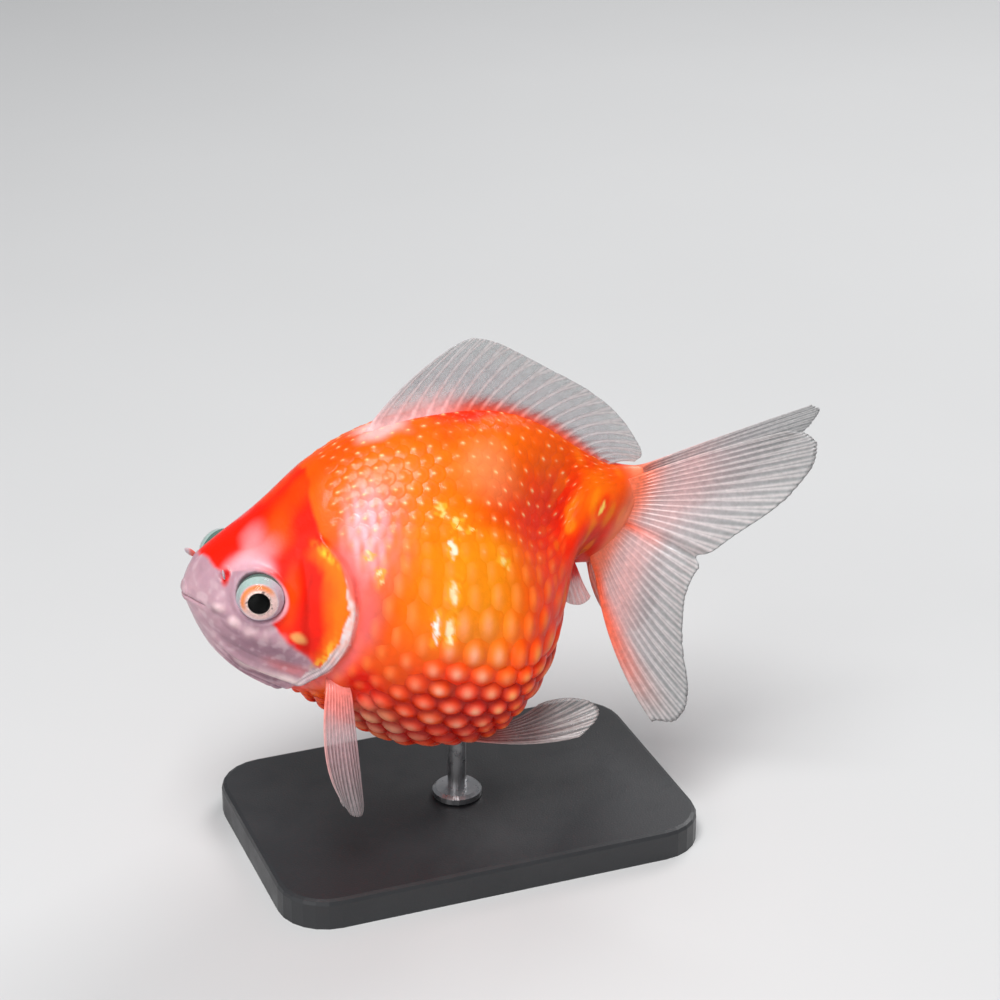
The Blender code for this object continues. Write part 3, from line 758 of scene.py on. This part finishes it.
def make_scales(name, side, material):
    """The overlapping scales of one side, each a low mound that carries a pearl."""
    chance = np.random.default_rng(11 if side < 0 else 23)
    across = np.linspace(-1, 1, SCALE_GRID)
    a, b = np.meshgrid(across, across, indexing="ij")
    disc_a, disc_b = a * np.sqrt(1 - b * b / 2), b * np.sqrt(1 - a * a / 2)
    radius = np.hypot(disc_a, disc_b)
    plates, colours, shines, maps = [], [], [], []
    map_length, map_height = 0.66, 184  # stations and degrees that the map spans
    for at_station, at_angle, half_length, half_height in scale_places():
        jitter = chance.normal(0, 1, 6)
        present = scale_share(at_station, at_angle)
        if present < 0.12:
            continue
        size = 1 + 0.05 * jitter[0]
        station = at_station + jitter[4] * 0.0012 + disc_a * half_length * size
        angle = at_angle + jitter[5] * 0.25 + disc_b * half_height * size
        degrees = angle if side < 0 else (180 - angle) % 360
        dome = dome_share(at_station, at_angle) * (1 + 0.12 * jitter[1])
        back = ramp(at_angle, 158, 130)
        full = min(dome, 1)
        breast = (1 - back) * (1 - full)
        mound = 1 - (disc_a / (0.77 - 0.2 * breast)) ** 2 - (disc_b / 0.78) ** 2
        mound = np.clip(mound, 0, 1) ** (1.9 - full)
        bold = np.clip(0.5 + 0.38 * jitter[2] + 0.3 * ramp(at_station, 0.62, 0.42), 0.08, 1)
        from_point = np.hypot(disc_a + 0.05 * jitter[0], disc_b * 1.1)
        point = hump(from_point, 0, 0.1 + 0.025 * bold) * back * bold
        lift = ((0.03 + 0.05 * breast + 0.86 * dome) * mound + 0.14 * point) * present
        lift = lift + 0.015 + 0.075 * disc_a * present - 0.05 * ramp(radius, 0.86, 1.0)
        points = skin_point(station, degrees, lift)
        colour, shine = markings(points, station, degrees)
        own_tint = min(abs(jitter[3]) * 0.12, 0.3) * present * min(dome + 0.1, 1)
        tip = hump(disc_a, -0.07, 0.25) * hump(disc_b, -0.05, 0.3 + 0.29 * breast)
        # low is 1 on the underside, where the pearls and the gaps between them get painted shade
        low = ramp(at_angle, 198, 232)
        pale = np.clip(0.82 + 0.25 * jitter[2], 0.3, 1.1) * (1 - 0.62 * low)
        # red in the gaps between the pearls: partly the skin's own red, partly painted shade in the hollows,
        # deeper red on the underside
        red_gap_and_shade = (0.1 * low + ramp(radius, 0.3, 0.72)) * (0.35 + 0.5 * ramp(at_angle, 175, 200)) * dome
        rear = ramp(at_station, 0.6, 0.76)
        pearl = np.array(PEARL_PINK) * (1 - rear) + np.array(PEARL_GOLD) * rear
        colour = layered(
            colour,
            (GOLD if jitter[3] > 0 else RED, np.full(radius.shape, own_tint)),
            (DEEP_RED if at_angle > 190 else RED, red_gap_and_shade * present),
            (PEARL_GOLD, tip * 0.4 * breast * present),
            (pearl * (1 - 0.15 * low), tip * dome * pale * present),
            ((1.0, 0.88, 0.62), np.minimum(point * 1.2, 1) * present * 0.9),
        )
        # painted highlights: each glint is a gold halo round a paler core, broken up by ripples
        uneven = ripple(points, 1.4, 12)
        for *glint, size_a, size_b, white in PAINTED_GLINTS:
            halo_size, core_size = (size_a * 1.2, size_b * 1.15), (size_a * 0.62, size_b * 0.8)
            halo = patch(station + 0.0045 * uneven, angle - 1.4 * uneven, glint, halo_size, 0.45)
            core = patch(station - 0.003 * uneven, angle - 1.6 * uneven, glint, core_size, 0.4)
            colour = toward(colour, (1.0, 0.68, 0.16), halo * (0.9 - 0.3 * white))
            colour = toward(colour, (1.0, 0.8 + 0.18 * white, 0.4 + 0.55 * white), core * 0.95)
        plates.append(points)
        colours.append(colour)
        shines.append(shine)
        u = (at_station - SCALE_START + 0.03 + disc_a * half_length * 0.8) / map_length
        v = (at_angle - 88 + disc_b * half_height * 0.7) / map_height
        maps.append(np.stack([u, v], -1))
    one, _ = grid_faces(SCALE_GRID, SCALE_GRID)
    faces = (np.arange(len(plates))[:, None, None] * SCALE_GRID**2 + one).reshape(-1, 4)
    uvs = np.array(maps).reshape(-1, 2)[faces]
    masks = {"Shine": np.array(shines)}
    add_piece(name, np.array(plates), faces, uvs, material, (), np.array(colours), masks, (0, 0, 1))


# ---- fins


def fin_surface(shape, out, across, side):
    """Points of a fan of rays: out runs along a ray, across from the first ray to the last."""
    lines = (shape[key] for key in ("root", "bend", "tip"))
    root, bend, tip = (curve_through(np.linspace(0, 1, len(line)), line, across) for line in lines)
    out = out[..., None]
    points = root * (1 - out) ** 2 + bend * 2 * out * (1 - out) + tip * out**2
    return points * (1, side, 1) if side else points


def make_fin(
    nodes, shape, material, paint, rays, side=0, branch=0.45, flare=1.0, wave=0.5, fork=None, seed=1,
    rounded=0.04, tuck=0,
):
    """One fin: ridged rays that branch, a thin membrane between them, and a fleshy root.

    paint(out, across, ray) gives the colour and how solid the fin is. rounded is how far its corners are cut,
    and tuck how far its root goes inward, along y."""
    per_ray = 10
    columns = rays * per_ray + 1
    inside = np.linspace(-0.1, 0, 5)[:-1]  # the fin starts inside the body
    outs = np.concatenate([inside, np.linspace(0, 1, 44)])
    out, across = np.meshgrid(outs, np.linspace(0, 1, columns), indexing="ij")
    place = across * rays
    off_ray = np.abs(place % 1 - 0.5)  # 0.5 half way between two rays, 0 on a ray
    chance = np.random.default_rng(seed)
    split_at, ragged = (np.interp(place, np.arange(rays + 1), chance.normal(size=rays + 1)) for _ in range(2))
    spread = 0.25 * ramp(out, branch + 0.12 * split_at, 1.15)
    branches = hump(off_ray, spread + 0.12 * ramp(out, 0.8, 1.1), 0.11) * 0.8
    ray = np.maximum(hump(off_ray, spread, 0.15), branches)
    edge_ray = np.maximum(hump(across, 0, 0.35 / rays), hump(across, 1, 0.25 / rays))
    ray = np.maximum(ray, edge_ray)

    notch = 0.0035 * (1 - ray) * ramp(out, 0.5, 1.0) * (1 + 0.5 * np.sin(place * 1.7))
    corner = rounded * (hump(across, 1, 0.045) + 0.5 * hump(across, 0, 0.03))
    notch = notch + (0.006 * np.abs(ragged) + corner) * ramp(out, 0, 1)
    if fork:
        notch = notch + 0.1 * hump(across, fork, 0.018) * ramp(out, 0.2, 1) ** 2
    reach = out * (1 - notch)
    points = fin_surface(shape, reach, across, side)
    normals = unit(np.cross(np.gradient(points, axis=0), np.gradient(points, axis=1)))
    grown = np.clip(reach, 0, 1)
    sway = wave * grown**1.5 * (np.sin(across * rays * 0.9 + 1.3) * 0.35 + np.sin(across * 11 + 0.6) * 0.5)
    if fork:
        sway = sway + 1.1 * grown * (ramp(across, fork - 0.03, fork + 0.01) - ramp(across, fork, fork + 0.22))
    points = points + normals * sway[..., None]
    points[..., 1] += tuck * ramp(out, 0.09, -0.1)
    from_root = np.linalg.norm(points - points[len(inside)], axis=2)
    half = 0.05 + 0.13 * ray * (1 - 0.65 * grown) * ramp(out, 0.0, 0.16)
    half = half + 0.5 * flare * hump(from_root, 0, 2.6)
    segments = 0.5 + 0.5 * np.sin(from_root * 9 + 3 * np.sin(place))
    half = half + 0.012 * segments * ray * ramp(out, 0.15, 0.4)
    half = half * np.minimum(1, 6 * np.sqrt(np.minimum(across, 1 - across) * rays / per_ray + 1e-9))
    half[:, 0] = half[:, -1] = 0
    half[-1] = 0
    lift = normals * half[..., None]
    colour, solid = paint(out, across, ray)
    pairs = ((points + lift, points - lift), (colour, colour), (solid, solid))
    both, colours, solids = (np.concatenate([one, other[-2::-1]]) for one, other in pairs)
    faces, uvs = grid_faces(len(both), columns)
    name = nodes[0].replace("_upper", "") + "_skin"
    weld(add_piece(name, both, faces, uvs, material, nodes, colours, {"Solid": solids}, normals[0, 0]))


def weld(piece):
    """Joins points that lie together."""
    builder = bmesh.new()
    builder.from_mesh(piece.data)
    bmesh.ops.remove_doubles(builder, verts=builder.verts, dist=0.001 * MM)
    builder.to_mesh(piece.data)
    builder.free()


def fin_paint(root_colour, middle_colour, tip_colour, ray_colour, root_end, lead, clear, streak=None):
    """The colours of a fin from root to tip. lead is how orange its first ray is; streak is the place across
    it of an orange streak near the root."""

    def paint(out, across, ray):
        colour = layered(
            linear(middle_colour),
            (tip_colour, ramp(out, 0.45, 1.0)),
            (ray_colour, ray * (0.8 - 0.2 * out)),
            (root_colour, ramp(out, root_end * 1.6, root_end * 0.3)),
            (ORANGE, ramp(across, 0.1, 0.0) * lead * ramp(out, 1.1, 0.5)),
        )
        solid = clear + (0.8 - clear) * ray * (1 - 0.35 * out) + 0.6 * ramp(out, root_end * 1.7, 0.0)
        solid = solid + 0.25 * ramp(across, 0.08, 0.0) * lead
        if streak is not None:
            along = hump(across, streak + 0.03 * out, 0.034) * ramp(out, 0.62, 0.3)
            colour = toward(colour, ORANGE, along * 0.85)
            solid = solid + 0.3 * along
        return np.clip(colour, 0, 1), np.clip(solid, 0, 1)

    return paint


def make_fins(material):
    """All the fins. The first ray of each is its leading edge."""
    plain = fin_paint((0.96, 0.34, 0.2), (0.54, 0.52, 0.54), GREY_FIN, (0.92, 0.88, 0.88), 0.2, 0.0, 0.36)

    def dorsal_paint(out, across, ray):
        colour, solid = plain(out, across, ray)
        pale = ramp(across, 0.34, 0.16) * ramp(out, 0.5, 0.12)
        return toward(colour, (0.96, 0.78, 0.78), pale * 0.9), solid

    make_fin(("dorsal_fin",), DORSAL, material, dorsal_paint, 20, branch=0.6, flare=2.2, wave=0.25)
    tail = fin_paint((0.98, 0.45, 0.28), (0.66, 0.63, 0.64), GREY_FIN, (0.93, 0.9, 0.9), 0.2, 0.0, 0.64, 0.47)

    def tail_paint(out, across, ray):
        colour, solid = tail(out, across, ray)
        pale = hump(out, 0.38, 0.16) * (0.5 + 0.35 * ramp(across, 0.4, 0.7))
        colour = toward(colour, (0.95, 0.74, 0.73), pale)
        front = ramp(across, 0.86, 0.98) * ramp(out, 1.05, 0.35)
        return toward(colour, ORANGE, front * 0.85), np.clip(solid + 0.3 * front, 0, 1)

    for word, fan, seed in (("left", TAIL_LEFT, 4), ("right", TAIL_RIGHT, 5)):
        nodes = ("tail_fin_upper_" + word, "tail_fin_lower_" + word)
        make_fin(nodes, fan, material, tail_paint, 32, fork=TAIL_FORK, flare=3.4, seed=seed, rounded=0.08)
    small = fin_paint(RED, (0.9, 0.5, 0.5), (0.8, 0.6, 0.6), (0.97, 0.72, 0.7), 0.3, 0.0, 0.45)
    pelvic = fin_paint((0.85, 0.42, 0.38), (0.66, 0.56, 0.56), GREY_FIN, (0.9, 0.84, 0.83), 0.32, 0.0, 0.4)
    for word, side in (("left", -1), ("right", 1)):
        make_fin(("anal_fin_" + word,), ANAL, material, small, 7, side, flare=1.2, wave=0.15)
        make_fin(("pelvic_fin_" + word,), PELVIC, material, pelvic, 9, side, flare=1.6, wave=0.3)
    pectoral = fin_paint((0.95, 0.52, 0.48), (0.78, 0.62, 0.64), GREY_FIN, (0.93, 0.82, 0.83), 0.24, 0.3, 0.4)
    for word, fan, tuck in (("left", PECTORAL_LEFT, 2.4), ("right", PECTORAL_RIGHT, -2.4)):
        make_fin(
            ("pectoral_fin_" + word,), fan, material, pectoral, 10, flare=1.2, wave=0.3, branch=0.5, tuck=tuck
        )


# ---- eyes and nostrils


def add_turned(name, profile, side, material, colours, shine, replaced=()):
    """A piece of the eye turned about the eye's axis, from (radius, height along the axis) pairs."""
    centre = np.array(EYE_LEFT_AT if side < 0 else EYE_RIGHT_AT)
    axis = unit(np.array(EYE_AXIS) * (1, side, 1))
    sideways = unit(np.cross(axis, (0, 0, 1.0)))
    angle = full_turn(EYE_AROUND)
    ring = np.cos(angle)[:, None] * sideways + np.sin(angle)[:, None] * np.cross(sideways, axis)
    profile = np.asarray(profile, float)
    points = centre + profile[:, :1, None] * ring + profile[:, 1:, None] * axis
    faces, uvs = grid_faces(len(points), EYE_AROUND, True)
    first = points[0].mean(0) - centre
    add_piece(name, points, faces, uvs, material, replaced, colours, {"Shine": shine}, first)


def make_eye(word, side, ball, clear):
    """An eyeball with a pale outer ring, a copper iris set into it and a black pupil, under a clear dome."""
    lens = [(r, 2.3 + 0.25 * math.cos(r / 1.7 * math.pi / 2)) for r in np.linspace(0.02, 1.66, 9)]
    iris = [(r, 2.22 - 0.42 * (r - 1.72)) for r in np.linspace(1.72, 2.9, 16)]
    white = [(r, 1.72 - 1.3 * ramp(r, 2.86, 3.62) ** 0.8) for r in np.linspace(2.96, 3.58, 9)]
    angles = np.radians(np.linspace(84, 175, 14))
    back = [(EYE_RADIUS * math.sin(t), EYE_RADIUS * math.cos(t)) for t in angles]
    profile = np.array(lens + iris + white + back)
    radius = np.repeat(profile[:, 0], EYE_AROUND)
    row = np.repeat(np.arange(len(profile)), EYE_AROUND)
    # 1 on the side of the iris that faces up and forward, as the snout lies; -1 opposite
    turn = np.tile(full_turn(EYE_AROUND), len(profile))
    upper = np.sin(turn) * 0.8 - np.cos(turn) * 0.45 * side
    pupil, in_front = row < len(lens), row < len(lens) + len(iris)
    colours = layered(
        linear(EYE_WHITE),
        # painted reflection: a green tint on the upper side of the pale outer ring
        ((0.66, 0.76, 0.73), ramp(upper, 0.0, 0.9) * (1 - in_front) * 0.9),
        # painted shade: darker green-grey on the upper side of the ball's edge, under the socket's rim
        ((0.36, 0.45, 0.42), (row >= len(lens + iris + white)) * ramp(upper, -0.3, 0.4)),
    )
    copper = ramp(upper, -0.35, 0.45) * hump(radius, 2.5, 0.55)
    bright_ring = hump(radius, 1.84, 0.12)
    specks = ripple(np.stack([radius * np.cos(turn), radius * np.sin(turn), radius], -1), 0.8, 31)
    iris_colour = layered(
        linear((0.95, 0.8, 0.78)),
        ((0.95, 0.56, 0.33), copper),
        ((0.98, 0.86, 0.82), bright_ring),
        (EYE_WHITE, ramp(radius, 2.6, 2.95) * (1 - 0.6 * copper)),
        ((0.25, 0.16, 0.18), ramp(specks, 0.7, 1.1) * ramp(radius, 2.5, 2.0) * 0.7),
    )
    colours = np.where(pupil[:, None], 0.002, np.where(in_front[:, None], iris_colour, colours))
    shine = np.where(in_front & ~pupil, 0.12 + 0.5 * bright_ring, 0.0)
    add_turned("eye_" + word + "_ball", profile, side, ball, colours, shine, ("eye_" + word,))
    dome = [(3.62 * math.sin(t), 3.05 * math.cos(t) + 0.1) for t in np.linspace(0.004, math.radians(86), 26)]
    count = len(dome) * EYE_AROUND
    add_turned("eye_" + word + "_cornea", dome, side, clear, np.ones((count, 3)), np.zeros(count))


def make_nostril_flap(word, side, place, lean, material):
    """A small fleshy leaf that stands out of a nostril."""
    rows, columns = 20, 24
    along, around = np.meshgrid(np.linspace(0, math.pi, rows), full_turn(columns), indexing="ij")
    lean = unit(np.array(lean) * (1, side, 1))
    up = unit(np.cross(lean, (0.9, 0.3 * side, 0.2)))
    flat = np.cross(lean, up)
    reach = 0.95 - 1.15 * np.cos(along)
    width = 0.66 * np.sin(along) * (0.75 + 0.4 * np.sin(along))
    points = on_body(*place) + reach[..., None] * lean + (width * np.cos(around))[..., None] * up
    points = points + (0.2 * np.sin(along) * np.sin(around))[..., None] * flat
    faces, uvs = grid_faces(rows, columns, True)
    colour = toward(linear((0.85, 0.4, 0.36)), (0.78, 0.7, 0.73), ramp(reach, 0.6, 1.4))
    masks = {"Shine": np.zeros(reach.shape)}
    weld(add_piece("nostril_flap_" + word, points, faces, uvs, material, (), colour, masks, -lean))


# ---- stage


def make_stage():
    """Floor, soft lights and camera."""
    mesh = bpy.data.meshes.new("floor")
    half = 3.0
    corners = [(-half, -half, 0), (half, -half, 0), (half, half, 0), (-half, half, 0)]
    mesh.from_pydata(corners, [], [(0, 1, 2, 3)])
    mesh.materials.append(floor_material())
    floor = add_object("floor", mesh)
    floor.location.z = CAD_BOX[0][2]

    world = bpy.data.worlds.new("studio")
    world.use_nodes = True
    sky = world.node_tree.nodes["Background"].inputs
    sky["Color"].default_value = (0.92, 0.95, 1.0, 1)
    sky["Strength"].default_value = 0.24
    bpy.context.scene.world = world

    target = Vector((SNOUT + (45, 0, 0)) * MM)
    add_light("key", (-0.2, -0.3, 0.7), 0.36, 6.0, target)
    add_light("fill", (-0.55, -0.4, 0.15), 0.6, 1.5, target)
    add_light("rim", (0.45, 0.35, 0.5), 0.35, 2.5, target)

    azimuth, elevation = np.radians((CAMERA_AZIMUTH, CAMERA_ELEVATION))
    level = math.cos(elevation)
    back = Vector((math.sin(azimuth) * level, -math.cos(azimuth) * level, math.sin(elevation)))
    lens = bpy.data.cameras.new("camera")
    lens.lens = CAMERA_LENS
    lens.sensor_width = 36.0
    lens.clip_start = 0.01
    camera = add_object("camera", lens)
    camera.rotation_euler = back.to_track_quat("Z", "Y").to_euler()
    camera.location = Vector((SNOUT + CAMERA_AIM) * MM) + back * CAMERA_DISTANCE * MM
    bpy.context.scene.camera = camera
    bpy.context.scene.view_settings.view_transform = "Standard"


def add_light(name, offset, size, power, target):
    """A square soft light that faces the target."""
    light = bpy.data.lights.new(name, "AREA")
    light.size = size
    light.energy = power
    lamp = add_object(name, light)
    lamp.location = target + Vector(offset)
    lamp.rotation_euler = Vector(offset).to_track_quat("Z", "Y").to_euler()
    lamp.visible_camera = False


# ---- the model

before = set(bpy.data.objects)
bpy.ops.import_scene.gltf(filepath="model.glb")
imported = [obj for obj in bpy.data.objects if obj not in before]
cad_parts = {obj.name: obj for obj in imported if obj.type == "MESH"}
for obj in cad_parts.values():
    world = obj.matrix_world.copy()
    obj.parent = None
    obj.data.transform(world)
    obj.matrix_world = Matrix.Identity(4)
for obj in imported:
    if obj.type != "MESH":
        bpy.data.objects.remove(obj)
CAD_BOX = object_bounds()
# The eye's solid says where the fish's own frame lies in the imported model.
SNOUT = np.array([(low + high) / 2 for low, high in zip(*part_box("eye_left"))]) / MM - np.array(EYE_LEFT_AT)

skin_look = marked_skin("wet skin", 0.3, 2200, 0.00004, 0.16)
scale_look = marked_skin("pearl scales", 0.28, 3000, 0.00003, 0.18)
make_skin(skin_look)
make_scales("scales_left", -1, scale_look)
make_scales("scales_right", 1, scale_look)
make_fins(fin_material())
ball_look, clear_look = eye_material(), cornea_material()
for word, side in (("left", -1), ("right", 1)):
    make_eye(word, side, ball_look, clear_look)
make_nostril_flap("left", -1, NOSTRIL_LEFT, (-0.25, 0.8, 0.5), skin_look)
make_nostril_flap("right", 1, NOSTRIL_RIGHT, (-0.6, 0.7, 0.2), skin_look)
steel = steel_material()
for node, material in (("stand_base", base_material()), ("stand_rod", steel), ("stand_cradle", steel)):
    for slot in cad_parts[node].material_slots:
        slot.material = material
make_stage()
